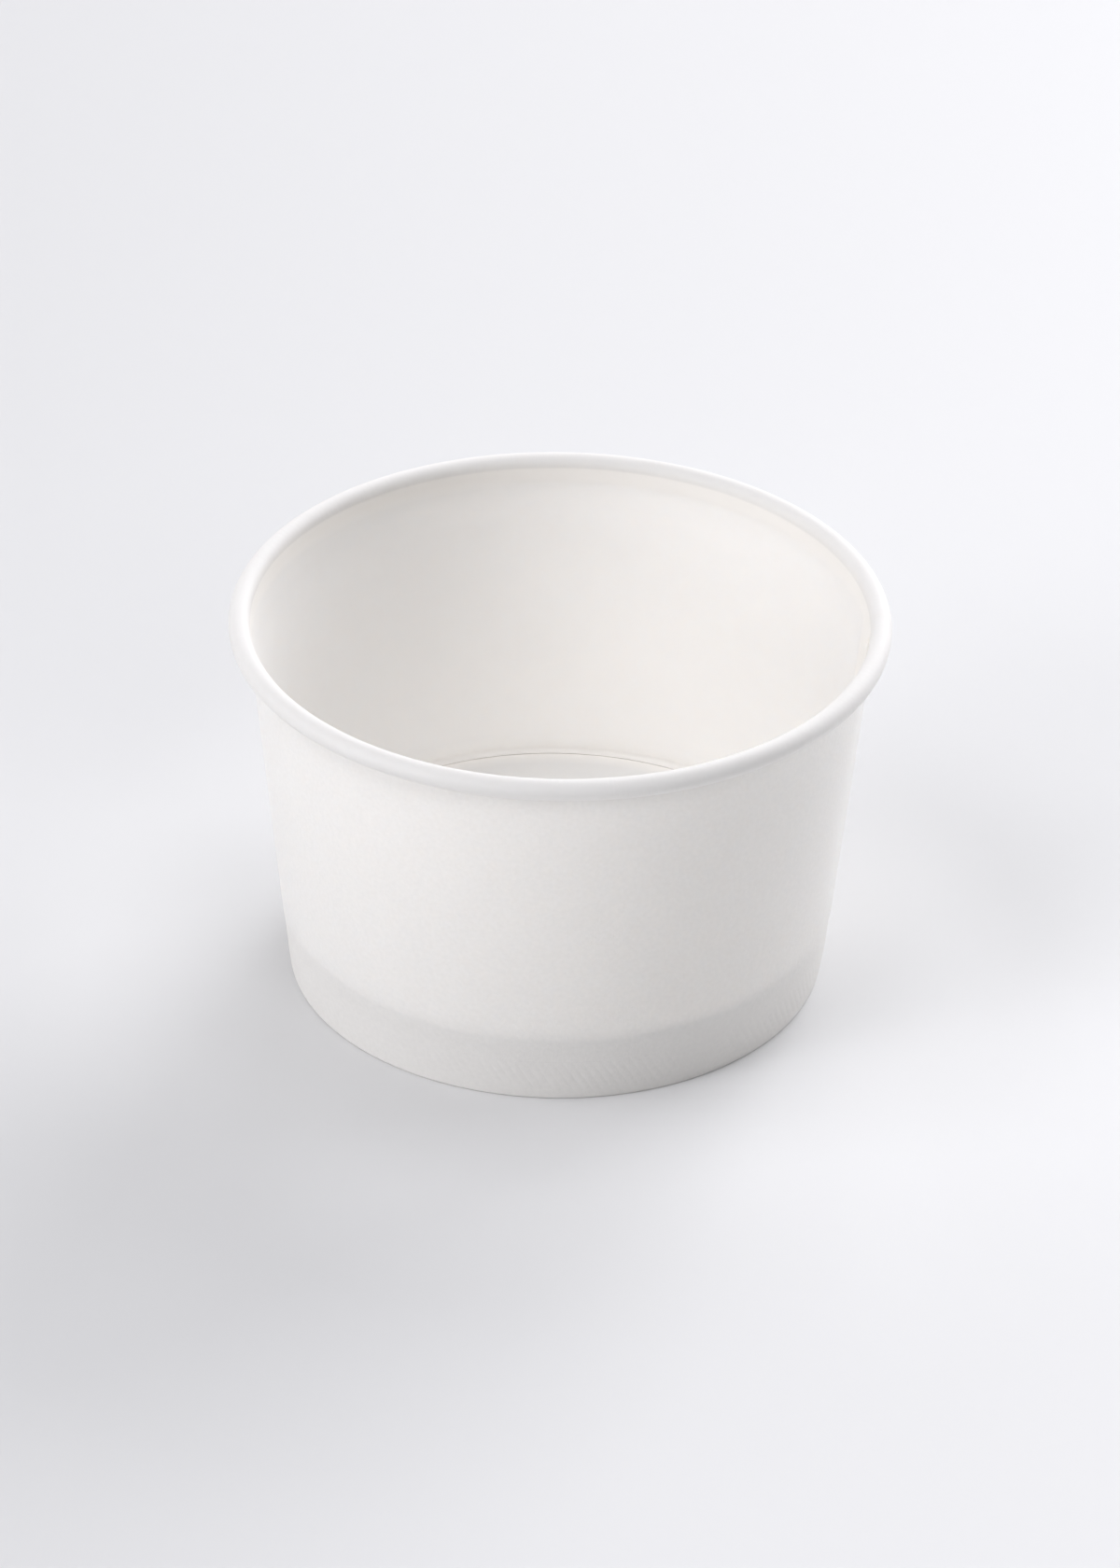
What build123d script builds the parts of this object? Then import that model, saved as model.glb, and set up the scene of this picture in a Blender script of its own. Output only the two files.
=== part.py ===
from build123d import *
from math import acos, atan, atan2, copysign, cos, degrees, radians, sin
import os

# Paper food container: a round, tapered board tub with a rolled rim and a recessed base.
# Two pieces of coated board make it. The side wall is one fan-shaped blank, wrapped into a cone and
# lapped along a side seam, with its top edge rolled outwards as the rim and its bottom edge folded
# in and up as a hem. The bottom disc has its edge turned down as a skirt, sealed between wall and hem.
# Millimetres, +Z up. The origin is the centre of the base, on the surface that the container stands on.

# Overall sizes
RIM_DIAMETER = 115.0  # across the outside of the rolled rim
BASE_DIAMETER = 94.2  # across the outside of the base band, at the table
HEIGHT = 70.0  # table to the top of the rim

# Side wall
WALL_BOARD = 0.45  # thickness of the side wall's board
CURL_DIAMETER = 3.7  # across the tube of the rolled rim
CURL_TURN = 270.0  # degrees that the roll's outer turn goes round
TUCK_TURN = 130.0  # degrees of the tighter turn inside the roll, which ends in the cut edge
CURL_GAP = 0.1  # between the wall and the tighter turn that tucks in beside it
BAND_HEIGHT = 8.6  # table to the top of the pressed base band
CRIMP_DEPTH = 0.15  # how far the base band is pressed in from the line of the wall
CRIMP_RISE = 3.0  # length of wall over which the base band eases out into the wall
FOLD_RADIUS = 0.05  # inside radius of the two bends where the wall folds under
HEM_LENGTH = 8.0  # straight part of the hem, above the fold

# Side seam
SEAM_ANGLE = 0.0  # degrees from +X to the cut edge of the inner end
LAP_WIDTH = 7.0  # how far the outer end of the blank laps over the inner end
EASE_WIDTH = 9.0  # width of wall that rises from the cone to lie over the inner end
EASE_STEPS = 6  # sections that shape this rise
LAP_FOOT = 0.6  # table to the lower end of the outer lap
RECESS_FOOT = 1.0  # disc's upper face to the lower end of the hollow inside the rise
RECESS_FADE = 4.0  # height over which this hollow runs out, at its foot and at its top
EASE_SINK = 0.02  # how far the rise starts below the board's face, so that it grows out of it

# Bottom disc
DISC_BOARD = 0.4  # thickness of the bottom disc's board
FLOOR_HEIGHT = 12.0  # table to the disc's upper face
DISC_BEND = 0.8  # inside radius where the disc turns down into its skirt
SEAL_GAP = 0.02  # between the skirt and the board on each side of it
SKIRT_CLEARANCE = 0.3  # between the skirt's cut edge and the fold below it

# Line of the wall, in a half plane with X out from the axis and Y up
curl_centre = Vector((RIM_DIAMETER - CURL_DIAMETER) / 2, HEIGHT - CURL_DIAMETER / 2)
base_corner = Vector(BASE_DIAMETER / 2, 0)
reach = curl_centre - base_corner
curl_offset = CRIMP_DEPTH - WALL_BOARD + CURL_DIAMETER / 2
tilt = acos(curl_offset / reach.length) - atan2(reach.Y, reach.X)
taper = degrees(tilt)
upwards = Vector(sin(tilt), cos(tilt))
outwards = Vector(cos(tilt), -sin(tilt))


def beside_band(offset, height):
    """The point at this height on a line along the base band, `offset` outside the band's outer face."""
    rise = (height + offset * sin(tilt)) / cos(tilt)
    return base_corner + outwards * offset + upwards * rise


def bent_board(start, heading, runs, board):
    """Edges of a bent board's section: both faces along its runs, and the cut edge at their far end.

    A run is (length, 0) where the board is straight, or (radius, turn) where it bends, both on its
    middle line. Heading and turns are in degrees, positive to the left.
    """
    edges = []
    middle = start
    along = Vector(1, 0).rotate(Axis.Z, heading)
    for size, turn in runs:
        left = along.rotate(Axis.Z, 90)
        faces = [middle + left * (board / 2), middle - left * (board / 2)]
        if turn == 0:
            edges += [Edge.make_line(face, face + along * size) for face in faces]
            middle += along * size
        else:
            centre = middle + left * copysign(size, turn)
            for face in faces:
                arm = face - centre
                half_way = centre + arm.rotate(Axis.Z, turn / 2)
                edges.append(Edge.make_three_point_arc(face, half_way, centre + arm.rotate(Axis.Z, turn)))
            middle = centre + (middle - centre).rotate(Axis.Z, turn)
            along = along.rotate(Axis.Z, turn)
    left = along.rotate(Axis.Z, 90)
    edges.append(Edge.make_line(middle + left * (board / 2), middle - left * (board / 2)))
    return edges


def around_axis(section, angle):
    """A section of the half plane, stood upright and turned about the axis to this angle."""
    return Rot(Z=angle) * (Plane.XZ * section)


# Section of the side wall, drawn up and down from the top of the base band's crimp
wall_middle = CRIMP_DEPTH - WALL_BOARD / 2
crimp_top = beside_band(wall_middle, BAND_HEIGHT) + upwards * CRIMP_RISE
wall_length = (curl_centre - crimp_top).dot(upwards)
curl_radius = (CURL_DIAMETER - WALL_BOARD) / 2
tuck_radius = curl_radius - WALL_BOARD - CURL_GAP
wall_and_curl = [(wall_length, 0), (curl_radius, -CURL_TURN), (tuck_radius, -TUCK_TURN)]

crimp_turn = degrees(2 * atan(CRIMP_DEPTH / CRIMP_RISE))
crimp_radius = CRIMP_RISE / (2 * sin(radians(crimp_turn)))
fold_radius = FOLD_RADIUS + WALL_BOARD / 2
skirt_offset = WALL_BOARD / 2 + SEAL_GAP + DISC_BOARD / 2
fold_flat = 2 * (skirt_offset - fold_radius) / cos(tilt)
band_top = crimp_top - upwards * CRIMP_RISE - outwards * CRIMP_DEPTH
band_length = (band_top.Y - WALL_BOARD / 2 - fold_radius * (1 - sin(tilt))) / cos(tilt)
band_fold_and_hem = [
    (crimp_radius, -crimp_turn),
    (crimp_radius, crimp_turn),
    (band_length, 0),
    (fold_radius, taper - 90),
    (fold_flat, 0),
    (fold_radius, -taper - 90),
    (HEM_LENGTH, 0),
]
wall_section = make_face(
    bent_board(crimp_top, 90 - taper, wall_and_curl, WALL_BOARD)
    + bent_board(crimp_top, -90 - taper, band_fold_and_hem, WALL_BOARD)
)
wall_cone = revolve(Plane.XZ * wall_section, Axis.Z)

# Side seam: the outer lap stands on the cone, and the wall beside it rises to go over the inner end
lap_top = HEIGHT - CURL_DIAMETER
recess_foot = FLOOR_HEIGHT + RECESS_FOOT
seam_radius = beside_band(0, HEIGHT / 2).X
lap_angle = degrees(LAP_WIDTH / seam_radius)
ease_angle = degrees(EASE_WIDTH / seam_radius)


def lap_section(proud):
    """Section of the outer lap, from inside the wall's board to `proud` of the wall's outer face."""
    stretches = [(0, LAP_FOOT), (0, BAND_HEIGHT), (CRIMP_DEPTH, crimp_top.Y), (CRIMP_DEPTH, lap_top)]
    outer = [beside_band(offset + proud, height) for offset, height in stretches]
    inner = [beside_band(offset - WALL_BOARD / 2, height) for offset, height in stretches]
    return make_face(Polyline(*outer, *reversed(inner), close=True))


def recess_section(depth):
    """Section of the hollow that the rising wall leaves on its inside, `depth` into the board."""
    inner_face = CRIMP_DEPTH - WALL_BOARD
    stretches = [
        (-EASE_SINK, recess_foot),
        (depth, recess_foot + RECESS_FADE),
        (depth, lap_top - RECESS_FADE),
        (-EASE_SINK, lap_top),
    ]
    outer = [beside_band(inner_face + offset, height) for offset, height in stretches]
    inner = [beside_band(inner_face - WALL_BOARD, height) for height in (lap_top, recess_foot)]
    return make_face(Polyline(*outer, *inner, close=True))


def easing(section):
    """Solid with this section, which grows from below the board's face to a board's thickness."""
    sections = []
    for step in range(EASE_STEPS + 1):
        share = step / EASE_STEPS
        rise_share = share * share * (3 - 2 * share)
        growth = WALL_BOARD * rise_share - EASE_SINK * (1 - share)
        sections.append(around_axis(section(growth), SEAM_ANGLE - ease_angle * (1 - share)))
    return loft(sections)


outer_lap = revolve(around_axis(lap_section(WALL_BOARD), SEAM_ANGLE), Axis.Z, lap_angle)
side_wall = wall_cone + easing(lap_section) + outer_lap - easing(recess_section)

# Bottom disc, drawn out from the axis and down between the wall and the hem
skirt_middle = -WALL_BOARD / 2 - skirt_offset
bend_radius = DISC_BEND + DISC_BOARD / 2
disc_middle = FLOOR_HEIGHT - DISC_BOARD / 2
bend_centre = beside_band(skirt_middle - bend_radius, disc_middle - bend_radius)
skirt_top = bend_centre + outwards * bend_radius
skirt_end = beside_band(skirt_middle, WALL_BOARD + SKIRT_CLEARANCE)
disc_runs = [
    (bend_centre.X, 0),
    (bend_radius, -taper - 90),
    ((skirt_top - skirt_end).length, 0),
]
disc_edge_on_axis = Edge.make_line(Vector(0, FLOOR_HEIGHT), Vector(0, FLOOR_HEIGHT - DISC_BOARD))
disc_section = make_face(bent_board(Vector(0, disc_middle), 0, disc_runs, DISC_BOARD) + [disc_edge_on_axis])
bottom_disc = revolve(Plane.XZ * disc_section, Axis.Z)

os.makedirs("parts", exist_ok=True)
export_step(side_wall, "parts/side_wall.step")
export_step(bottom_disc, "parts/bottom_disc.step")
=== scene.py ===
import math

import bpy
from mathutils import Matrix, Vector


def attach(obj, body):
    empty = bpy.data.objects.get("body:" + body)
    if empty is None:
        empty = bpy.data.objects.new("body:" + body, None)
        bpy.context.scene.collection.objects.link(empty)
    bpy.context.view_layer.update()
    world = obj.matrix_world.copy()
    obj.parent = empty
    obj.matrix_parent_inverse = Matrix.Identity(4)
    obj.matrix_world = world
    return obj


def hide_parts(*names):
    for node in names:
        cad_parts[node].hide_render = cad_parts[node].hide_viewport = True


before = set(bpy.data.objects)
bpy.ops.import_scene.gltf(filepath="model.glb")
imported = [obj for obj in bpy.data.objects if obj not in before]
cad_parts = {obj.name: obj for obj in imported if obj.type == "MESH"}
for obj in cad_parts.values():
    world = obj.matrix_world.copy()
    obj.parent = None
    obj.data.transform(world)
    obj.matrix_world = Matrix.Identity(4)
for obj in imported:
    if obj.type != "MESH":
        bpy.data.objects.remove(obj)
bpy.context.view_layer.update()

# Paper food container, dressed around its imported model: metres, +Z up, and the centre of the base at the
# origin, on the floor. The pieces come in the order in which the container is put together.

# Side wall
# One fan-shaped blank of white cup board, film-coated inside, wrapped into a cone and sealed along a lapped
# side seam. Its top edge is rolled outwards as the rim. Its bottom edge is folded in and up as a hem, and
# pressed onto the bottom disc's skirt as the base band.

MM = 0.001
RIM_DIAMETER = 115.0 * MM  # across the outside of the rolled rim
BASE_DIAMETER = 94.2 * MM  # across the outside of the base band, at the floor
HEIGHT = 70.0 * MM  # floor to the top of the rim
WALL_BOARD = 0.45 * MM  # thickness of the side wall's board
CURL_DIAMETER = 3.7 * MM  # across the tube of the rolled rim
CURL_TURN = 270  # degrees that the roll's outer turn goes round
TUCK_TURN = 130  # degrees of the tighter turn inside the roll
CURL_GAP = 0.1 * MM  # between the wall and the tighter turn beside it
BAND_HEIGHT = 8.6 * MM  # floor to the top of the pressed base band
CRIMP_DEPTH = 0.15 * MM  # how far the band is pressed in from the line of the wall
CRIMP_RISE = 3.0 * MM  # length of wall over which the band eases out into the wall
FOLD_RADIUS = 0.05 * MM  # inside radius of the two bends where the wall folds under
HEM_LENGTH = 8.0 * MM  # straight part of the hem, above the fold
DISC_BOARD = 0.4 * MM  # thickness of the bottom disc's board, which the fold goes round
FLOOR_HEIGHT = 12.0 * MM  # floor to the disc's upper face, below which the disc's skirt backs the wall
SKIRT_FADE = 1.1 * MM  # height above the disc over which the wall loses this backing
ROLL_FADE = 3.0 * MM  # height below the roll over which the wall loses the roll's backing, and with it the painted light on its inside
ROLL_BACKED_SHARE = 0.75  # how much the turn inside the roll backs its outer turn
SEAL_GAP = 0.02 * MM  # between sealed layers of board
LAP_WIDTH = 7.0 * MM  # how far the outer end of the blank laps over the inner end
EASE_WIDTH = 9.0 * MM  # width of wall that rises to lie over the inner end
LAP_FOOT = 0.6 * MM  # floor to where the wall beside the lap starts to rise
LAP_FULL = 2.5 * MM  # floor to where it stands a whole board proud
LAP_SINK = 0.9 * MM  # height below the roll over which it goes back to nothing
RIM_NARROWING_SHARE = 0.003  # how much less the rim measures from front to back than from side to side
RIM_RIPPLE = 0.1 * MM  # how far the rolled rim is out of true
RIPPLE_WIDTH = 26.0 * MM  # along the rim, from one ripple to the next
RIPPLE_DETAIL = 1.0  # layers of finer ripple on them
QUARTER_TURN = 90  # degrees
CREASE_ANGLE = math.radians(40)  # faces that meet at more than this have a cut edge between them
MERGE_DISTANCE = 0.001 * MM  # points that are nearer than this become one
WALL_COLUMNS = 330  # sections of the wall round the axis
OPEN_STEPS = 14  # points up the open wall
SINK_STEPS = 4  # points up the wall just below the roll
BEHIND_ROLL_STEPS = 4  # points up the wall beside the roll
ROLL_STEPS = 30  # points round the roll's outer turn
TUCK_STEPS = 10  # points round the turn inside it
CRIMP_STEPS = 4  # points along each bend above the band
BAND_STEPS = 6  # points down the band
FOLD_STEPS = 5  # points round each bend of the fold
FLAT_STEPS = 1  # points across the flat between the two bends
HEM_STEPS = 4  # points up the hem

curl_centre = Vector(((RIM_DIAMETER - CURL_DIAMETER) / 2, HEIGHT - CURL_DIAMETER / 2))
base_corner = Vector((BASE_DIAMETER / 2, 0))
reach = curl_centre - base_corner
curl_offset = CRIMP_DEPTH - WALL_BOARD + CURL_DIAMETER / 2
tilt = math.acos(curl_offset / reach.length) - math.atan2(reach.y, reach.x)
taper = math.degrees(tilt)
upwards = Vector((math.sin(tilt), math.cos(tilt)))
outwards = Vector((math.cos(tilt), -math.sin(tilt)))


def beside_band(offset, height):
    """The point at this height on a line along the base band, `offset` outside the band's outer face."""
    rise = (height + offset * math.sin(tilt)) / math.cos(tilt)
    return base_corner + outwards * offset + upwards * rise


def turned(direction, degrees):
    """A direction in the half plane of a section, turned to the left."""
    return Matrix.Rotation(math.radians(degrees), 2) @ direction


def eased(value, start, end):
    """A share that goes smoothly from 0 at start to 1 at end."""
    share = min(max((value - start) / (end - start), 0), 1)
    return share * share * (3 - 2 * share)


def board_line(start, heading, runs, outer_side):
    """Points along the middle of a bent board, each with the direction out of its outer face.

    A run is (length, 0, steps) where the board is straight, or (radius, turn, steps) where it bends.
    Heading and turns are in degrees, positive to the left. outer_side is 1 where the outer face is on
    the left of the heading, and -1 where it is on the right.
    """
    middle = start
    along = turned(Vector((1, 0)), heading)
    line = [(middle, turned(along, QUARTER_TURN * outer_side))]
    for size, turn, steps in runs:
        for step in range(steps):
            if turn == 0:
                middle = middle + along * (size / steps)
            else:
                centre = middle + turned(along, QUARTER_TURN) * math.copysign(size, turn)
                middle = centre + turned(middle - centre, turn / steps)
                along = turned(along, turn / steps)
            line.append((middle, turned(along, QUARTER_TURN * outer_side)))
    return line


# Section of the wall, drawn up and down from the top of the crimp, and joined from the roll to the hem
wall_middle = CRIMP_DEPTH - WALL_BOARD / 2
crimp_top = beside_band(wall_middle, BAND_HEIGHT) + upwards * CRIMP_RISE
wall_length = (curl_centre - crimp_top).dot(upwards)
curl_radius = (CURL_DIAMETER - WALL_BOARD) / 2
tuck_radius = curl_radius - WALL_BOARD - CURL_GAP
crimp_turn = math.degrees(2 * math.atan(CRIMP_DEPTH / CRIMP_RISE))
crimp_radius = CRIMP_RISE / (2 * math.sin(math.radians(crimp_turn)))
fold_radius = FOLD_RADIUS + WALL_BOARD / 2
skirt_offset = WALL_BOARD / 2 + SEAL_GAP + DISC_BOARD / 2
fold_flat = 2 * (skirt_offset - fold_radius) / math.cos(tilt)
band_top = crimp_top - upwards * CRIMP_RISE - outwards * CRIMP_DEPTH
band_length = (band_top.y - WALL_BOARD / 2 - fold_radius * (1 - math.sin(tilt))) / math.cos(tilt)
wall_and_curl = board_line(
    crimp_top,
    QUARTER_TURN - taper,
    [
        (wall_length - CURL_DIAMETER, 0, OPEN_STEPS),
        (CURL_DIAMETER / 2, 0, SINK_STEPS),
        (CURL_DIAMETER / 2, 0, BEHIND_ROLL_STEPS),
        (curl_radius, -CURL_TURN, ROLL_STEPS),
        (tuck_radius, -TUCK_TURN, TUCK_STEPS),
    ],
    outer_side=-1,
)
band_fold_and_hem = board_line(
    crimp_top,
    -QUARTER_TURN - taper,
    [
        (crimp_radius, -crimp_turn, CRIMP_STEPS),
        (crimp_radius, crimp_turn, CRIMP_STEPS),
        (band_length, 0, BAND_STEPS),
        (fold_radius, taper - QUARTER_TURN, FOLD_STEPS),
        (fold_flat, 0, FLAT_STEPS),
        (fold_radius, -taper - QUARTER_TURN, FOLD_STEPS),
        (HEM_LENGTH, 0, HEM_STEPS),
    ],
    outer_side=1,
)
wall_line = wall_and_curl[::-1] + band_fold_and_hem[1:]
rolled_points = TUCK_STEPS + ROLL_STEPS + 1
folded_points = HEM_STEPS + 2 * FOLD_STEPS + FLAT_STEPS
lapped_points = range(rolled_points, len(wall_line) - folded_points)
roll_foot = HEIGHT - CURL_DIAMETER
wall_lap_shares = [0] * len(wall_line)
for place in lapped_points:
    height = wall_line[place][0].y
    risen = eased(height, LAP_FOOT, LAP_FULL)
    wall_lap_shares[place] = risen * eased(height, roll_foot, roll_foot - LAP_SINK)
wall_rolled_shares = [1 if place < rolled_points else 0 for place in range(len(wall_line))]
# The backing also whitens the film-coated inside in the material: partly painted light, which lifts the
# inside just below the roll.
wall_backed_shares = [ROLL_BACKED_SHARE] * rolled_points
for middle, outer in wall_line[rolled_points:]:
    by_skirt = eased(middle.y, FLOOR_HEIGHT + SKIRT_FADE, FLOOR_HEIGHT)
    by_roll = eased(middle.y, roll_foot - ROLL_FADE, roll_foot)
    wall_backed_shares.append(max(by_skirt, by_roll))

# What each point of a board's section says to the tree that wraps the board: its place, the board's middle
# beside it, the way out of the outer face, its share of the lap's step, whether the outer end of the blank
# laps over the inner end there, its place along the board, and whether it has the film, is in the roll, or
# is backed by another layer of board.
SECTION_SAYS = {
    "face": "FLOAT_VECTOR",
    "middle": "FLOAT_VECTOR",
    "outer": "FLOAT_VECTOR",
    "lap_share": "FLOAT",
    "lapped": "FLOAT",
    "board_length": "FLOAT",
    "film": "FLOAT",
    "rolled": "FLOAT",
    "backed": "FLOAT",
}


def section_object(name, line, board, backed_shares, film_shares, lap_shares=None, rolled_shares=None):
    """A board's section as a row of points along its outer face and back along its inner face.

    film_shares says how much of the film the outer face and the inner face have. A board without
    lap_shares has no lap, and one without rolled_shares has no roll.
    """
    nowhere = [0] * len(line)
    lap_shares = lap_shares or nowhere
    middles = [middle for middle, outer in line]
    lengths = [0]
    for before, after in zip(middles, middles[1:]):
        lengths.append(lengths[-1] + (after - before).length)
    inset_middles = list(middles)
    inset_middles[0] = middles[0] + (middles[1] - middles[0]).normalized() * (board / 2)
    inset_middles[-1] = middles[-1] + (middles[-2] - middles[-1]).normalized() * (board / 2)
    outer_face = {
        "face": [middle + outer * (board / 2) for middle, outer in line],
        "middle": inset_middles,
        "outer": [outer for middle, outer in line],
        "lap_share": lap_shares,
        "lapped": [math.floor(share) for share in lap_shares],
        "board_length": lengths,
        "film": [film_shares[0]] * len(line),
        "rolled": rolled_shares or nowhere,
        "backed": backed_shares,
    }
    inner_face = dict(outer_face)
    inner_face["face"] = [middle - outer * (board / 2) for middle, outer in line]
    inner_face["film"] = [film_shares[1]] * len(line)
    mesh = bpy.data.meshes.new(name)
    mesh.vertices.add(2 * len(line))
    for label, data_type in SECTION_SAYS.items():
        values = outer_face[label] + inner_face[label][::-1]
        attribute = mesh.attributes.new(label, data_type, "POINT")
        if data_type == "FLOAT_VECTOR":
            attribute.data.foreach_set("vector", [part for value in values for part in (value.x, 0, value.y)])
        else:
            attribute.data.foreach_set("value", values)
    made = bpy.data.objects.new(name, mesh)
    bpy.context.scene.collection.objects.link(made)
    return made


def add_node(tree, kind, inputs=(), **settings):
    """Add a node with its settings. Inputs are listed in order or by name: a value, a socket or a node."""
    node = tree.nodes.new(kind)
    for setting, value in settings.items():
        setattr(node, setting, value)
    shown = [socket for socket in node.inputs if socket.enabled]
    if isinstance(inputs, dict):
        pairs = [(next(socket for socket in shown if socket.name == name), inputs[name]) for name in inputs]
    else:
        pairs = zip(shown, inputs)
    for socket, value in pairs:
        if isinstance(value, bpy.types.Node):
            value = next(output for output in value.outputs if output.enabled)
        if isinstance(value, bpy.types.NodeSocket):
            tree.links.new(value, socket)
        else:
            socket.default_value = value
    return node


def new_tree(name, inputs):
    """A Geometry Nodes tree with these named inputs, and the sockets of its group input."""
    tree = bpy.data.node_groups.new(name, "GeometryNodeTree")
    tree.interface.new_socket("Geometry", in_out="INPUT", socket_type="NodeSocketGeometry")
    for label, kind in inputs.items():
        tree.interface.new_socket(label, in_out="INPUT", socket_type="NodeSocket" + kind)
    tree.interface.new_socket("Geometry", in_out="OUTPUT", socket_type="NodeSocketGeometry")
    return tree, tree.nodes.new("NodeGroupInput").outputs


def finish_by_tree(made, tree, values):
    """Run a tree on an object with these inputs, and keep the result as the object's plain mesh."""
    modifier = made.modifiers.new(tree.name, "NODES")
    modifier.node_group = tree
    for item in tree.interface.items_tree:
        if item.in_out == "INPUT" and item.name in values:
            modifier[item.identifier] = values[item.name]
    evaluated = made.evaluated_get(bpy.context.evaluated_depsgraph_get())
    mesh = bpy.data.meshes.new_from_object(evaluated)
    if mesh.materials[0] is None:
        mesh.materials.pop(index=0)
    made.modifiers.remove(modifier)
    before = made.data
    made.data = mesh
    bpy.data.meshes.remove(before)
    mesh.name = made.name


# The tree turns a section round the axis, as a board that is wrapped into a cone. Where the board meets
# itself, its last part rises by its own thickness and laps over its first part.
MATH = "ShaderNodeMath"
WHOLE_MATH = "FunctionNodeIntegerMath"
wrapped_board, wrap = new_tree("wrapped_board", {
    "Columns": "Int",
    "Cut Ends": "Int",
    "Closed Section": "Int",
    "Turn": "Float",
    "Lap": "Float",
    "Ease": "Float",
    "Lift": "Float",
    "Height": "Float",
    "Rim Radius": "Float",
    "Narrowing": "Float",
    "Ripple Depth": "Float",
    "Ripple Scale": "Float",
    "Material": "Material",
})

# A flat sheet of points, with a row for each point of the section and a column for each place round the axis
point_count = add_node(wrapped_board, "GeometryNodeAttributeDomainSize", [wrap["Geometry"]])
rows = add_node(wrapped_board, WHOLE_MATH, [point_count, wrap["Closed Section"]], operation="ADD")
columns = add_node(
    wrapped_board, WHOLE_MATH, [wrap["Cut Ends"], 2, wrap["Columns"]], operation="MULTIPLY_ADD"
)
sheet = add_node(wrapped_board, "GeometryNodeMeshGrid", {"Vertices X": columns, "Vertices Y": rows})
place = add_node(wrapped_board, "GeometryNodeInputIndex")
column = add_node(wrapped_board, WHOLE_MATH, [place, rows], operation="DIVIDE")
sheet_row = add_node(wrapped_board, WHOLE_MATH, [place, rows], operation="MODULO")
row = add_node(wrapped_board, WHOLE_MATH, [sheet_row, point_count], operation="MODULO")
last_column = add_node(wrapped_board, MATH, [wrap["Columns"], 1.0], operation="SUBTRACT")
wrap_column = add_node(wrapped_board, MATH, [column, wrap["Cut Ends"]], operation="SUBTRACT")
at_start = add_node(wrapped_board, MATH, [wrap_column, 0.0], operation="LESS_THAN")
at_end = add_node(wrapped_board, MATH, [wrap_column, last_column], operation="GREATER_THAN")
at_cut_end = add_node(wrapped_board, MATH, [at_start, at_end], operation="ADD")
said = {}
for label, data_type in SECTION_SAYS.items():
    value = add_node(wrapped_board, "GeometryNodeInputNamedAttribute", {"Name": label}, data_type=data_type)
    from_row = {"Geometry": wrap["Geometry"], "Value": value, "Index": row}
    said[label] = add_node(wrapped_board, "GeometryNodeSampleIndex", from_row, data_type=data_type)

# The angle of each column. Above and below the lap the blank's corners are cut away, and its ends meet.
turn_share = add_node(wrapped_board, MATH, [wrap_column, last_column], operation="DIVIDE", use_clamp=True)
blank_turn = add_node(wrapped_board, MATH, [wrap["Turn"], wrap["Lap"]], operation="ADD")
blank_angle = add_node(wrapped_board, MATH, [turn_share, blank_turn], operation="MULTIPLY")
end_angle = add_node(
    wrapped_board, MATH, [said["lapped"], wrap["Lap"], wrap["Turn"]], operation="MULTIPLY_ADD"
)
angle = add_node(wrapped_board, MATH, [blank_angle, end_angle], operation="MINIMUM")

# The rise of the wall to lie over the inner end
rise_start = add_node(wrapped_board, MATH, [wrap["Turn"], wrap["Ease"]], operation="SUBTRACT")
rise = add_node(
    wrapped_board,
    "ShaderNodeMapRange",
    {"Value": angle, "From Min": rise_start, "From Max": wrap["Turn"], "To Min": 0.0, "To Max": wrap["Lift"]},
    interpolation_type="SMOOTHSTEP",
)
lift = add_node(wrapped_board, MATH, [rise, said["lap_share"]], operation="MULTIPLY")
on_section = add_node(
    wrapped_board,
    "ShaderNodeMix",
    {"Factor": at_cut_end, "A": said["face"], "B": said["middle"]},
    data_type="VECTOR",
)
lifted = add_node(
    wrapped_board, "ShaderNodeVectorMath", [said["outer"], lift, on_section], operation="MULTIPLY_ADD"
)
in_section = add_node(wrapped_board, "ShaderNodeSeparateXYZ", [lifted]).outputs

# The rim is a little narrower from front to back and out of true, less so further down
height_share = add_node(wrapped_board, MATH, [in_section["Z"], wrap["Height"]], operation="DIVIDE")
looseness = add_node(wrapped_board, MATH, [height_share, height_share], operation="MULTIPLY")
sideways = add_node(wrapped_board, MATH, [angle], operation="COSINE")
backwards = add_node(wrapped_board, MATH, [angle], operation="SINE")
around = add_node(wrapped_board, "ShaderNodeCombineXYZ", [sideways, backwards])
ripples = add_node(
    wrapped_board,
    "ShaderNodeTexNoise",
    {"Vector": around, "Scale": wrap["Ripple Scale"], "Detail": RIPPLE_DETAIL},
    noise_dimensions="3D",
)
ripple_depth = add_node(wrapped_board, MATH, [wrap["Ripple Depth"], looseness], operation="MULTIPLY")
ripple = add_node(wrapped_board, MATH, [ripples, ripple_depth], operation="MULTIPLY")
radius = add_node(wrapped_board, MATH, [in_section["X"], ripple], operation="SUBTRACT")
narrowing = add_node(wrapped_board, MATH, [wrap["Narrowing"], looseness], operation="MULTIPLY")
depth_share = add_node(wrapped_board, MATH, [1.0, narrowing], operation="SUBTRACT")
depth_radius = add_node(wrapped_board, MATH, [radius, depth_share], operation="MULTIPLY")
wrapped_place = add_node(
    wrapped_board,
    "ShaderNodeCombineXYZ",
    [
        add_node(wrapped_board, MATH, [radius, sideways], operation="MULTIPLY"),
        add_node(wrapped_board, MATH, [depth_radius, backwards], operation="MULTIPLY"),
        add_node(wrapped_board, MATH, [in_section["Z"], ripple], operation="SUBTRACT"),
    ],
)

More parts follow.
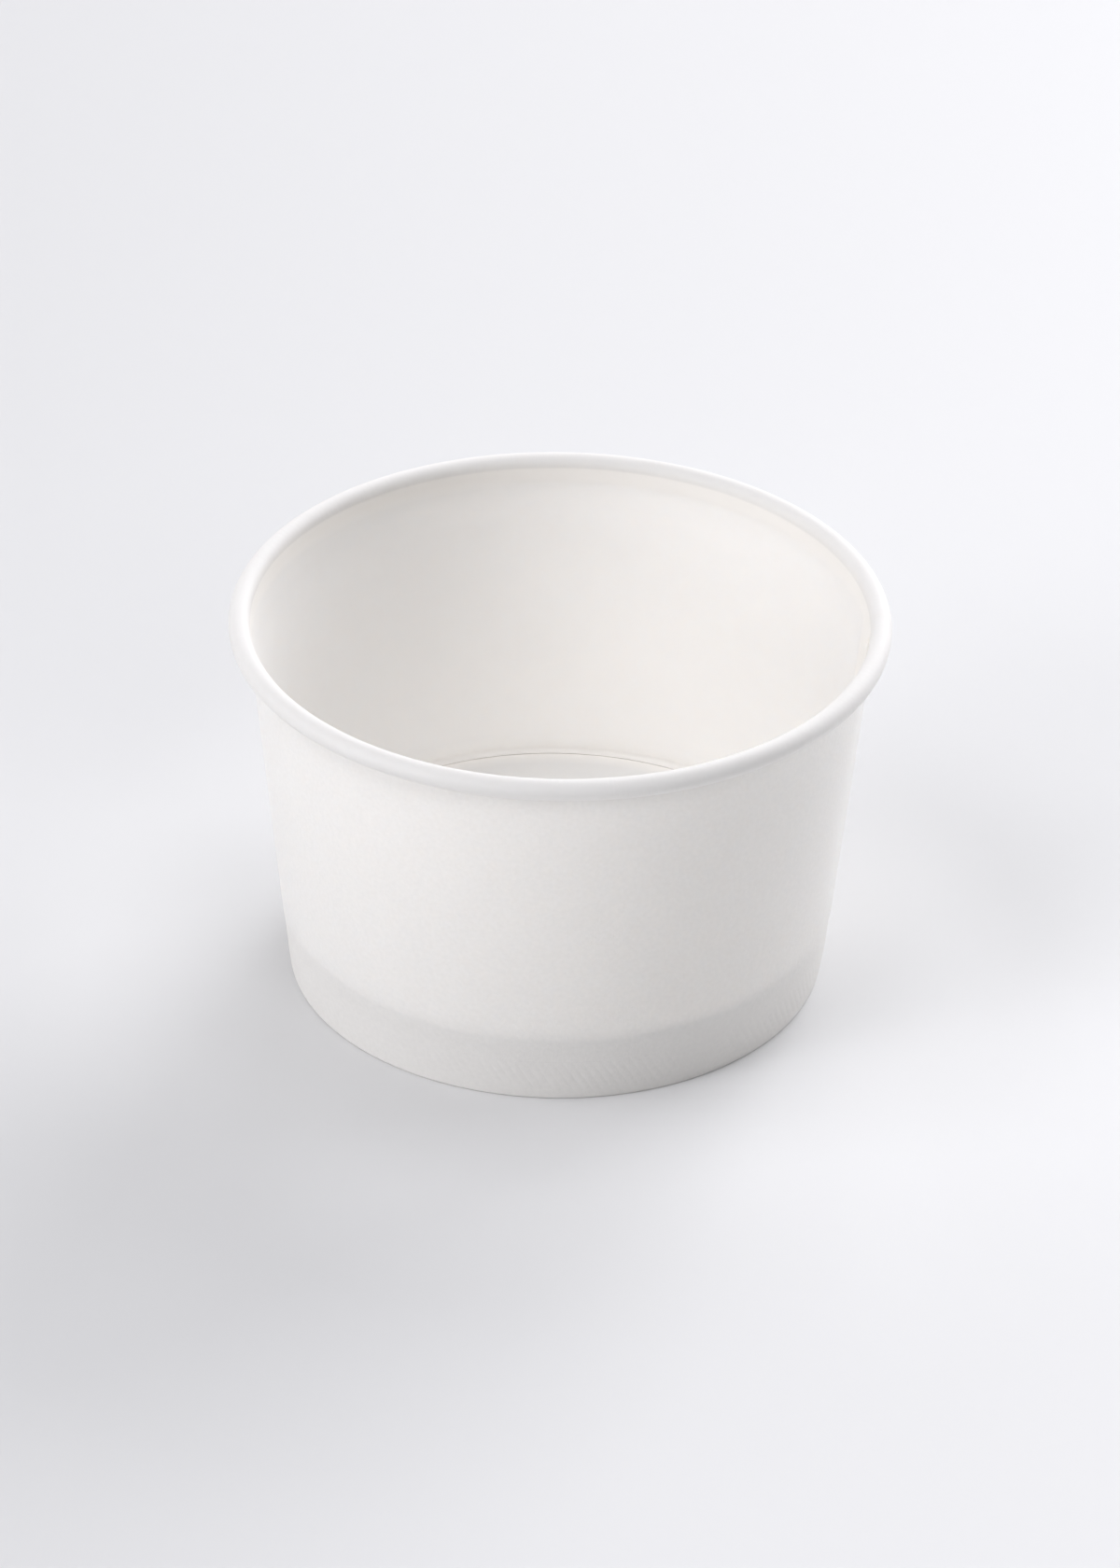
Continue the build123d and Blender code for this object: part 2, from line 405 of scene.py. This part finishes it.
# What the material reads: the place on the board's flat blank, the film, the roll and the backing. In the
# lap, each end of the blank backs the other.
on_outer_end = add_node(wrapped_board, MATH, [angle, wrap["Turn"]], operation="GREATER_THAN")
on_inner_end = add_node(wrapped_board, MATH, [angle, wrap["Lap"]], operation="LESS_THAN")
on_either_end = add_node(wrapped_board, MATH, [on_outer_end, on_inner_end], operation="MAXIMUM")
in_lap = add_node(wrapped_board, MATH, [on_either_end, said["lap_share"]], operation="MULTIPLY")
backing = add_node(wrapped_board, MATH, [said["backed"], in_lap], operation="MAXIMUM")
blank_width = add_node(wrapped_board, MATH, [angle, wrap["Rim Radius"]], operation="MULTIPLY")
on_board = add_node(wrapped_board, "ShaderNodeCombineXYZ", [blank_width, said["board_length"]])
labels = {"on_board": on_board, "film": said["film"], "rolled": said["rolled"], "backed": backing}
labelled = sheet.outputs["Mesh"]
for label, value in labels.items():
    labelled = add_node(
        wrapped_board,
        "GeometryNodeStoreNamedAttribute",
        {"Geometry": labelled, "Name": label, "Value": value},
        data_type="FLOAT_VECTOR" if label == "on_board" else "FLOAT",
        domain="POINT",
    )
wrapped = add_node(
    wrapped_board, "GeometryNodeSetPosition", {"Geometry": labelled, "Position": wrapped_place}
)
closed = add_node(
    wrapped_board, "GeometryNodeMergeByDistance", {"Geometry": wrapped, "Distance": MERGE_DISTANCE}
)
faced = add_node(wrapped_board, "GeometryNodeFlipFaces", [closed])
smooth = add_node(wrapped_board, "GeometryNodeSetShadeSmooth", {"Geometry": faced, "Shade Smooth": True})
edge_angle = add_node(wrapped_board, "GeometryNodeInputMeshEdgeAngle").outputs["Unsigned Angle"]
cut_edges = add_node(wrapped_board, MATH, [edge_angle, CREASE_ANGLE], operation="GREATER_THAN")
creased = add_node(
    wrapped_board,
    "GeometryNodeStoreNamedAttribute",
    {"Geometry": smooth, "Name": "sharp_edge", "Value": cut_edges},
    data_type="BOOLEAN",
    domain="EDGE",
)
realized = add_node(wrapped_board, "GeometryNodeRealizeInstances", [creased])
finished = add_node(
    wrapped_board, "GeometryNodeSetMaterial", {"Geometry": realized, "Material": wrap["Material"]}
)
add_node(wrapped_board, "NodeGroupOutput", [finished])


def linear(colour):
    """An sRGB hex colour as linear red, green, blue and alpha."""
    parts = [int(colour[start:start + 2], 16) / 255 for start in (0, 2, 4)]
    return [part / 12.92 if part <= 0.04045 else ((part + 0.055) / 1.055) ** 2.4 for part in parts] + [1]


# Cup board is bleached fibre, pressed dry: a matt, faintly felted outer face, clouded where the fibres lie
# thicker, with a stray dark fibre here and there. Inside, an extruded film makes it smooth and satin. Light
# passes through one layer, so the base band, with three, looks a little darker.
BOARD_WHITE = "f4f2ee"
BOARD_CLOUD = "f2efeb"
STRAY_FIBRE = "b9ada4"
FELT_GRAIN = 0.8 * MM  # between the bumps of the felted face, drawn coarser than they are, to show
FELT_RELIEF = 0.06 * MM  # how high they stand, drawn higher than they are, to show
FELT_SHADE = "e4e2de"  # mixed into the felted face, most of all on the bumps
FELT_TONE_SHARE = 0.55  # how much of this mix comes and goes with the bumps, the rest being even
GRAIN_DETAIL = 2.0  # layers of finer grain on the felt, and on the wrinkles
CLOUD_WIDTH = 4.0 * MM  # across a cloud of thicker fibre
CLOUD_DETAIL = 3.0  # layers of finer clouds on it
WRINKLE_PITCH = 0.6 * MM  # between the fine wrinkles across the roll
WRINKLE_LENGTH = 3.0 * MM  # along a wrinkle
WRINKLE_RELIEF = 0.05 * MM  # how high they stand
BACKED_FILM_AND_PAINTED_LIGHT = "fffcf7"  # whiter tone of the film side where another layer backs it: partly the backed board's own whiteness, partly painted light that lifts the inside below the roll, the fillet and the disc's top
FIBRE_CELL = 15.0 * MM  # a patch of board in which a stray fibre may lie
FIBRE_WIDTH = 0.25 * MM  # across a stray fibre, drawn wider than it is, to show
FIBRE_PATCH_SHARE = 0.05  # of the patches that have one
FELTED_ROUGHNESS = 0.62
FILM_ROUGHNESS = 0.42
LIGHT_REACH = 1.5 * MM  # how far light goes between fibres before it turns
REACH_SHARES = (1.0, 0.92, 0.85)  # of this reach, for red, green and blue light
THROUGH_SHARE = 0.69  # of the light that goes in among the fibres of a board with nothing behind it

cup_board = bpy.data.materials.new("film_coated_cup_board")
cup_board.use_nodes = True
board_nodes = cup_board.node_tree
board_shader = board_nodes.nodes["Principled BSDF"]
board_shader.inputs["Subsurface Radius"].default_value = REACH_SHARES
board_shader.inputs["Subsurface Scale"].default_value = LIGHT_REACH
in_place = add_node(board_nodes, "ShaderNodeTexCoord").outputs["Object"]
on_blank = add_node(board_nodes, "ShaderNodeAttribute", attribute_name="on_board").outputs["Vector"]
film = add_node(board_nodes, "ShaderNodeAttribute", attribute_name="film").outputs["Fac"]
rolled = add_node(board_nodes, "ShaderNodeAttribute", attribute_name="rolled").outputs["Fac"]
backed = add_node(board_nodes, "ShaderNodeAttribute", attribute_name="backed").outputs["Fac"]

clouds = add_node(
    board_nodes,
    "ShaderNodeTexNoise",
    {"Vector": in_place, "Scale": 1 / CLOUD_WIDTH, "Detail": CLOUD_DETAIL},
)
clouded = add_node(
    board_nodes,
    "ShaderNodeMix",
    {"Factor": clouds, "A": linear(BOARD_WHITE), "B": linear(BOARD_CLOUD)},
    data_type="RGBA",
)
felt = add_node(
    board_nodes,
    "ShaderNodeTexNoise",
    {"Vector": in_place, "Scale": 1 / FELT_GRAIN, "Detail": GRAIN_DETAIL},
)
uncoated = add_node(board_nodes, MATH, [1.0, film], operation="SUBTRACT", use_clamp=True)
even_share = (1 - FELT_TONE_SHARE) / 2
felt_share = add_node(board_nodes, MATH, [felt, FELT_TONE_SHARE, even_share], operation="MULTIPLY_ADD")
felt_tone = add_node(board_nodes, MATH, [felt_share, uncoated], operation="MULTIPLY")
felted = add_node(
    board_nodes,
    "ShaderNodeMix",
    {"Factor": felt_tone, "A": clouded, "B": linear(FELT_SHADE)},
    data_type="RGBA",
)
# Painted light, in part: the film side is mixed towards a whiter colour where it is backed. This makes it
# lighter than the backing alone would, most of all on the inside just below the roll.
backed_film = add_node(board_nodes, MATH, [backed, film], operation="MULTIPLY")
whitened_and_painted_light = add_node(board_nodes, MATH, [backed_film, rolled], operation="SUBTRACT", use_clamp=True)
whiter_and_painted_light = add_node(
    board_nodes,
    "ShaderNodeMix",
    {"Factor": whitened_and_painted_light, "A": felted, "B": linear(BACKED_FILM_AND_PAINTED_LIGHT)},
    data_type="RGBA",
)
patches = add_node(board_nodes, "ShaderNodeTexVoronoi", {"Vector": in_place, "Scale": 1 / FIBRE_CELL})
fibre_share = FIBRE_WIDTH / FIBRE_CELL / 2
in_fibre = add_node(board_nodes, MATH, [patches.outputs["Distance"], fibre_share], operation="LESS_THAN")
patch_draw = add_node(board_nodes, "ShaderNodeSeparateColor", [patches.outputs["Color"]])
has_fibre = add_node(board_nodes, MATH, [patch_draw, FIBRE_PATCH_SHARE], operation="LESS_THAN")
shown_fibre = add_node(board_nodes, MATH, [in_fibre, has_fibre], operation="MULTIPLY")
flecked = add_node(
    board_nodes,
    "ShaderNodeMix",
    {"Factor": shown_fibre, "A": whiter_and_painted_light, "B": linear(STRAY_FIBRE)},
    data_type="RGBA",
)
flat_film = add_node(board_nodes, MATH, [film, rolled], operation="SUBTRACT", use_clamp=True)
gloss = add_node(
    board_nodes, "ShaderNodeMix", {"Factor": flat_film, "A": FELTED_ROUGHNESS, "B": FILM_ROUGHNESS}
)
through = add_node(board_nodes, MATH, [backed, -THROUGH_SHARE, THROUGH_SHARE], operation="MULTIPLY_ADD")
felt_depth = add_node(board_nodes, MATH, [uncoated, FELT_RELIEF], operation="MULTIPLY")
felt_relief = add_node(board_nodes, MATH, [felt, felt_depth], operation="MULTIPLY")
across_roll = add_node(
    board_nodes,
    "ShaderNodeVectorMath",
    [on_blank, (1 / WRINKLE_PITCH, 1 / WRINKLE_LENGTH, 0)],
    operation="MULTIPLY",
)
wrinkles = add_node(
    board_nodes, "ShaderNodeTexNoise", {"Vector": across_roll, "Scale": 1.0, "Detail": GRAIN_DETAIL}
)
wrinkle_depth = add_node(board_nodes, MATH, [rolled, WRINKLE_RELIEF], operation="MULTIPLY")
relief = add_node(board_nodes, MATH, [wrinkles, wrinkle_depth, felt_relief], operation="MULTIPLY_ADD")
bumps = add_node(board_nodes, "ShaderNodeBump", {"Height": relief, "Strength": 1.0, "Distance": 1.0})
board_nodes.links.new(flecked.outputs["Result"], board_shader.inputs["Base Color"])
board_nodes.links.new(gloss.outputs["Result"], board_shader.inputs["Roughness"])
board_nodes.links.new(through.outputs["Value"], board_shader.inputs["Subsurface Weight"])
board_nodes.links.new(bumps.outputs["Normal"], board_shader.inputs["Normal"])

seam_radius = beside_band(0, HEIGHT / 2).x
side_wall = section_object(
    "side_wall_board",
    wall_line,
    WALL_BOARD,
    wall_backed_shares,
    film_shares=(0, 1),
    lap_shares=wall_lap_shares,
    rolled_shares=wall_rolled_shares,
)
finish_by_tree(side_wall, wrapped_board, {
    "Columns": WALL_COLUMNS,
    "Cut Ends": 1,
    "Closed Section": 1,
    "Turn": 2 * math.pi - SEAL_GAP / seam_radius,
    "Lap": LAP_WIDTH / seam_radius,
    "Ease": EASE_WIDTH / seam_radius,
    "Lift": WALL_BOARD + SEAL_GAP,
    "Height": HEIGHT,
    "Rim Radius": RIM_DIAMETER / 2,
    "Narrowing": RIM_NARROWING_SHARE,
    "Ripple Depth": RIM_RIPPLE,
    "Ripple Scale": RIM_DIAMETER / 2 / RIPPLE_WIDTH,
    "Material": cup_board,
})
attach(side_wall, "root")
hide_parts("side_wall")

# Base knurl
# Slanted lines that the sealing tool leaves where it presses the wall, the skirt and the hem together. They
# stand a little proud of the band's outer face and, pressed through, of the hem's inner face.

KNURL_COUNT = 180  # lines round the band
KNURL_LEAN = 30  # degrees from upright, to the left going up
KNURL_FOOT = 0.9 * MM  # floor to the lower end of the lines
KNURL_LENGTH = 7.2 * MM  # along the band, from the lines' lower ends to their upper ends
KNURL_HEIGHT = 0.04 * MM  # how far a line stands proud
KNURL_SINK = 0.02 * MM  # how far its underside lies in the board
KNURL_LIFT = 0.003 * MM  # how far the hollows between lines lie off the flat facets of the band
KNURL_FADE_SHARE = 0.2  # of a line's length over which it runs out at each end
KNURL_ACROSS_STEPS = 4  # faces across a line
KNURL_ALONG_STEPS = 6  # faces along it


def knurl_line(name, offset, facing):
    """One line of the knurl on the face `offset` outside the band's. facing is 1 outwards and -1 inwards."""
    foot = beside_band(offset, KNURL_FOOT)
    pitch = 2 * math.pi / KNURL_COUNT
    across_steps = range(KNURL_ACROSS_STEPS + 1)
    across_shares = [(step - KNURL_ACROSS_STEPS / 2) / KNURL_ACROSS_STEPS for step in across_steps]
    points = []
    for along_step in range(KNURL_ALONG_STEPS + 1):
        along_share = along_step / KNURL_ALONG_STEPS
        along = along_share * KNURL_LENGTH
        fade = eased(min(along_share, 1 - along_share), 0, KNURL_FADE_SHARE)
        lean = along * math.tan(math.radians(KNURL_LEAN)) / foot.x
        outline = []
        for share in across_shares:
            crown_share = (1 + math.cos(2 * math.pi * share)) / 2
            outline.append((share, KNURL_LIFT + KNURL_HEIGHT * fade * crown_share))
        outline += [(across_shares[-1], -KNURL_SINK), (across_shares[0], -KNURL_SINK)]
        for share, proud in outline:
            angle = facing * share * pitch - lean
            point = foot + upwards * along + outwards * (proud * facing)
            points.append((point.x * math.cos(angle), point.x * math.sin(angle), point.y))
    outline_points = len(across_shares) + 2
    faces = [tuple(reversed(range(outline_points))), tuple(range(len(points) - outline_points, len(points)))]
    for start in range(0, len(points) - outline_points, outline_points):
        for step in range(outline_points):
            after = (step + 1) % outline_points
            ahead = start + outline_points
            faces.append((start + step, start + after, ahead + after, ahead + step))
    mesh = bpy.data.meshes.new(name)
    mesh.from_pydata(points, [], faces)
    backed_points = mesh.attributes.new("backed", "FLOAT", "POINT")
    backed_points.data.foreach_set("value", [1] * len(points))
    made = bpy.data.objects.new(name, mesh)
    bpy.context.scene.collection.objects.link(made)
    return made


# The tree sets the line round the axis.
pressed_lines, press = new_tree("pressed_lines", {"Count": "Int", "Step": "Float", "Material": "Material"})
line_places = add_node(
    pressed_lines,
    "GeometryNodeMeshLine",
    {"Count": press["Count"], "Offset": (0, 0, 0)},
    mode="OFFSET",
)
line_place = add_node(pressed_lines, "GeometryNodeInputIndex")
line_angle = add_node(pressed_lines, MATH, [line_place, press["Step"]], operation="MULTIPLY")
line_turn = add_node(pressed_lines, "ShaderNodeCombineXYZ", {"Z": line_angle})
line_set = add_node(
    pressed_lines,
    "GeometryNodeInstanceOnPoints",
    {"Points": line_places, "Instance": press["Geometry"], "Rotation": line_turn},
)
lines = add_node(pressed_lines, "GeometryNodeRealizeInstances", [line_set])
smooth_lines = add_node(
    pressed_lines, "GeometryNodeSetShadeSmooth", {"Geometry": lines, "Shade Smooth": True}
)
line_edge_angle = add_node(pressed_lines, "GeometryNodeInputMeshEdgeAngle").outputs["Unsigned Angle"]
line_edges = add_node(pressed_lines, MATH, [line_edge_angle, CREASE_ANGLE], operation="GREATER_THAN")
creased_lines = add_node(
    pressed_lines,
    "GeometryNodeStoreNamedAttribute",
    {"Geometry": smooth_lines, "Name": "sharp_edge", "Value": line_edges},
    data_type="BOOLEAN",
    domain="EDGE",
)
realized_lines = add_node(pressed_lines, "GeometryNodeRealizeInstances", [creased_lines])
finished_lines = add_node(
    pressed_lines, "GeometryNodeSetMaterial", {"Geometry": realized_lines, "Material": press["Material"]}
)
add_node(pressed_lines, "NodeGroupOutput", [finished_lines])

hem_face = -2 * WALL_BOARD - DISC_BOARD - 2 * SEAL_GAP  # its offset from the band's outer face
knurled_faces = {"band_knurl": (0, 1), "hem_knurl": (hem_face, -1)}
for name, (offset, facing) in knurled_faces.items():
    knurl = knurl_line(name, offset, facing)
    finish_by_tree(knurl, pressed_lines, {
        "Count": KNURL_COUNT,
        "Step": 2 * math.pi / KNURL_COUNT,
        "Material": cup_board,
    })
    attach(knurl, "root")

# Bottom disc
# One round blank of the same kind of board, film-coated on top, with its edge turned down as a skirt. The
# skirt is sealed between the wall and the hem, which holds the disc above the floor.

DISC_BEND = 0.8 * MM  # inside radius where the disc turns down into its skirt
SKIRT_CLEARANCE = 0.3 * MM  # between the skirt's cut edge and the fold below it
DISC_COLUMNS = 240  # sections of the disc round the axis
DISC_STEPS = 16  # points from the middle of the disc to its edge
BEND_STEPS = 8  # points round the bend
SKIRT_STEPS = 4  # points down the skirt
EDGE_FADE = 2.0 * MM  # width of the flat disc over which the wall and the skirt come to back it
DISC_BACKED_SHARE = 0.4  # how much the closed recess under the disc backs it, by sending light back

skirt_middle = -WALL_BOARD / 2 - skirt_offset
bend_radius = DISC_BEND + DISC_BOARD / 2
disc_middle = FLOOR_HEIGHT - DISC_BOARD / 2
bend_centre = beside_band(skirt_middle - bend_radius, disc_middle - bend_radius)
skirt_top = bend_centre + outwards * bend_radius
skirt_end = beside_band(skirt_middle, WALL_BOARD + SKIRT_CLEARANCE)
disc_line = board_line(
    Vector((0, disc_middle)),
    0,
    [
        (bend_centre.x, 0, DISC_STEPS),
        (bend_radius, -taper - QUARTER_TURN, BEND_STEPS),
        ((skirt_top - skirt_end).length, 0, SKIRT_STEPS),
    ],
    outer_side=1,
)
edge_start = bend_centre.x - EDGE_FADE
# The backing also whitens the disc's film-coated top in the material: partly painted light, most of all at
# its edge.
disc_backed_shares = []
for middle, outer in disc_line:
    by_wall = eased(middle.x, edge_start, bend_centre.x)
    disc_backed_shares.append(max(by_wall, DISC_BACKED_SHARE))
bottom_disc = section_object(
    "bottom_disc_board", disc_line, DISC_BOARD, disc_backed_shares, film_shares=(1, 0)
)

# A round board has no cut ends, no lap and no ripple, so the tree's other inputs stay at zero.
round_board = {
    "Columns": DISC_COLUMNS,
    "Turn": 2 * math.pi,
    "Height": HEIGHT,
    "Rim Radius": RIM_DIAMETER / 2,
    "Material": cup_board,
}
finish_by_tree(bottom_disc, wrapped_board, {**round_board, "Closed Section": 0})
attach(bottom_disc, "root")
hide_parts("bottom_disc")

# Film fillet
# Where the disc meets the wall, the molten coating of both ran together when they were sealed. It fills the
# groove over the disc's bend with a thin hollow curve.

FILLET_FILM = 0.05 * MM  # thickness of the film, drawn a little thicker than it is
FILLET_RADIUS = 1.1 * MM  # of its hollow curve
FILLET_SINK = 0.03 * MM  # how far the ends of the curve run into the disc and the wall
FILLET_BACKED_SHARE = 0.88  # how much the boards close behind it back it
FILLET_STEPS = 6  # points along the curve

fillet_reach = FILLET_RADIUS - FILLET_SINK
fillet_centre = beside_band(CRIMP_DEPTH - WALL_BOARD - fillet_reach, FLOOR_HEIGHT + fillet_reach)
fillet_middle = FILLET_RADIUS + FILLET_FILM / 2
fillet_line = board_line(
    fillet_centre - Vector((0, fillet_middle)),
    0,
    [(fillet_middle, QUARTER_TURN - taper, FILLET_STEPS)],
    outer_side=1,
)
# The backing also whitens the fillet's film in the material: partly painted light.
fillet_backed_shares = [FILLET_BACKED_SHARE] * len(fillet_line)
film_fillet = section_object(
    "film_fillet", fillet_line, FILLET_FILM, fillet_backed_shares, film_shares=(1, 1)
)
finish_by_tree(film_fillet, wrapped_board, {**round_board, "Closed Section": 1})
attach(film_fillet, "root")

# Floor
# A plain sheet under the container, painted a matt pale grey, and wide enough to lie behind it in every
# view. It is a little greyer on the left, as the photograph's is: a painted shade, standing in for light that
# falls off towards the left.

FLOOR_REACH = 6.0  # metres from the container to the sheet's edge
# Painted shade: the floor's colour goes from greyer on the left to paler on the right, for light that falls
# off towards the left
FLOOR_SHADED_LEFT = "d9d9d9"
FLOOR_LIT_RIGHT = "f2f2f2"
FLOOR_FADE = 200 * MM  # from the middle to where the floor is as grey or as pale as it gets
FLOOR_ROUGHNESS = 0.8

floor_mesh = bpy.data.meshes.new("floor_sheet")
floor_corners = [(x, y, 0) for x, y in ((-1, -1), (1, -1), (1, 1), (-1, 1))]
floor_mesh.from_pydata([Vector(corner) * FLOOR_REACH for corner in floor_corners], [], [(0, 1, 2, 3)])
floor = bpy.data.objects.new("floor_sheet", floor_mesh)
bpy.context.scene.collection.objects.link(floor)
floor_paint = bpy.data.materials.new("matt_pale_paint")
floor_paint.use_nodes = True
floor_shader = floor_paint.node_tree.nodes["Principled BSDF"]
floor_place = add_node(floor_paint.node_tree, "ShaderNodeTexCoord").outputs["Object"]
floor_across = add_node(floor_paint.node_tree, "ShaderNodeSeparateXYZ", [floor_place]).outputs["X"]
floor_light_share = add_node(
    floor_paint.node_tree,
    "ShaderNodeMapRange",
    {"Value": floor_across, "From Min": -FLOOR_FADE, "From Max": FLOOR_FADE},
)
floor_painted_shade = add_node(
    floor_paint.node_tree,
    "ShaderNodeMix",
    {"Factor": floor_light_share, "A": linear(FLOOR_SHADED_LEFT), "B": linear(FLOOR_LIT_RIGHT)},
    data_type="RGBA",
)
floor_paint.node_tree.links.new(floor_painted_shade.outputs["Result"], floor_shader.inputs["Base Color"])
floor_shader.inputs["Roughness"].default_value = FLOOR_ROUGHNESS
floor_mesh.materials.append(floor_paint)

# Light
# Large soft lamps, far off: a strong low one behind on the right, which throws the soft shadow to the front
# left, weaker ones behind, above and on both sides, and one high in front on the right.

BACKDROP = "f0f0f3"  # what shows, and is mirrored, beyond the floor
LAMP_COLOUR = "fbfbff"  # daylight, a little cool
LAMP_DISTANCE = 5.0  # metres from the container

world = bpy.data.worlds.new("pale_studio")
bpy.context.scene.world = world
world.use_nodes = True
studio_nodes = world.node_tree
backdrop = studio_nodes.nodes["Background"]
backdrop.inputs["Color"].default_value = linear(BACKDROP)
seen_rays = add_node(studio_nodes, "ShaderNodeLightPath").outputs
seen_or_mirrored = add_node(
    studio_nodes, MATH, [seen_rays["Is Camera Ray"], seen_rays["Is Glossy Ray"]], operation="MAXIMUM"
)
studio_nodes.links.new(seen_or_mirrored.outputs["Value"], backdrop.inputs["Strength"])

# Each lamp's direction from the container in degrees, its size in metres, and its power in watts
lamps = {
    "low_right_lamp": (20, 24, 2.1, 2.1, 48),
    "low_back_right_lamp": (56, 22, 3.1, 2.5, 147),
    "high_back_lamp": (74, 40, 2.5, 2.5, 48),
    "back_left_lamp": (120, 25, 2.5, 2.5, 22),
    "overhead_lamp": (0, 85, 2.9, 2.9, 68),
    "low_left_lamp": (208, 8, 2.1, 1.4, 62),
    "front_left_lamp": (218, 29, 2.5, 2.1, 53),
    "high_left_lamp": (196, 55, 2.8, 2.1, 64),
    "high_front_right_lamp": (300, 40, 2.0, 2.0, 30),
}
for name, (azimuth, elevation, width, depth, power) in lamps.items():
    lamp = bpy.data.lights.new(name, "AREA")
    lamp.shape = "RECTANGLE"
    lamp.size = width
    lamp.size_y = depth
    lamp.energy = power
    lamp.color = linear(LAMP_COLOUR)[:3]
    holder = bpy.data.objects.new(name, lamp)
    bpy.context.scene.collection.objects.link(holder)
    level = math.cos(math.radians(elevation))
    towards = Vector((
        level * math.cos(math.radians(azimuth)),
        level * math.sin(math.radians(azimuth)),
        math.sin(math.radians(elevation)),
    ))
    holder.location = towards * LAMP_DISTANCE
    holder.rotation_euler = towards.to_track_quat("Z", "Y").to_euler()

# Camera
# It looks down on the container from the front with a long lens, at the photograph's angle and a little out
# of level, as the photograph is.

CAMERA_DISTANCE = 1322 * MM  # from the container's axis, at the height of the target
CAMERA_ELEVATION = 31.97  # degrees
CAMERA_ROLL = 0.908  # degrees
CAMERA_LENS = 172.9  # millimetres, on a sensor 36 mm along the picture's longer side
LONGER_SIDE = 36.0  # millimetres
TARGET = Vector((0.4 * MM, 0, 34.7 * MM))  # in the middle of the picture

camera_data = bpy.data.cameras.new("camera")
camera_data.lens = CAMERA_LENS
camera_data.sensor_width = LONGER_SIDE
camera_data.sensor_fit = "AUTO"
camera = bpy.data.objects.new("camera", camera_data)
bpy.context.scene.collection.objects.link(camera)
elevation = math.radians(CAMERA_ELEVATION)
camera_place = Vector((0, -math.cos(elevation), math.sin(elevation))) * CAMERA_DISTANCE
camera_place.z += TARGET.z
forwards = (TARGET - camera_place).normalized()
level_right = forwards.cross(Vector((0, 0, 1))).normalized()
level_up = level_right.cross(forwards)
roll = math.radians(CAMERA_ROLL)
right = level_right * math.cos(roll) + level_up * math.sin(roll)
up = level_up * math.cos(roll) - level_right * math.sin(roll)
camera.matrix_world = Matrix((
    (right.x, up.x, -forwards.x, camera_place.x),
    (right.y, up.y, -forwards.y, camera_place.y),
    (right.z, up.z, -forwards.z, camera_place.z),
    (0, 0, 0, 1),
))
bpy.context.scene.camera = camera
bpy.context.scene.view_settings.view_transform = "Standard"
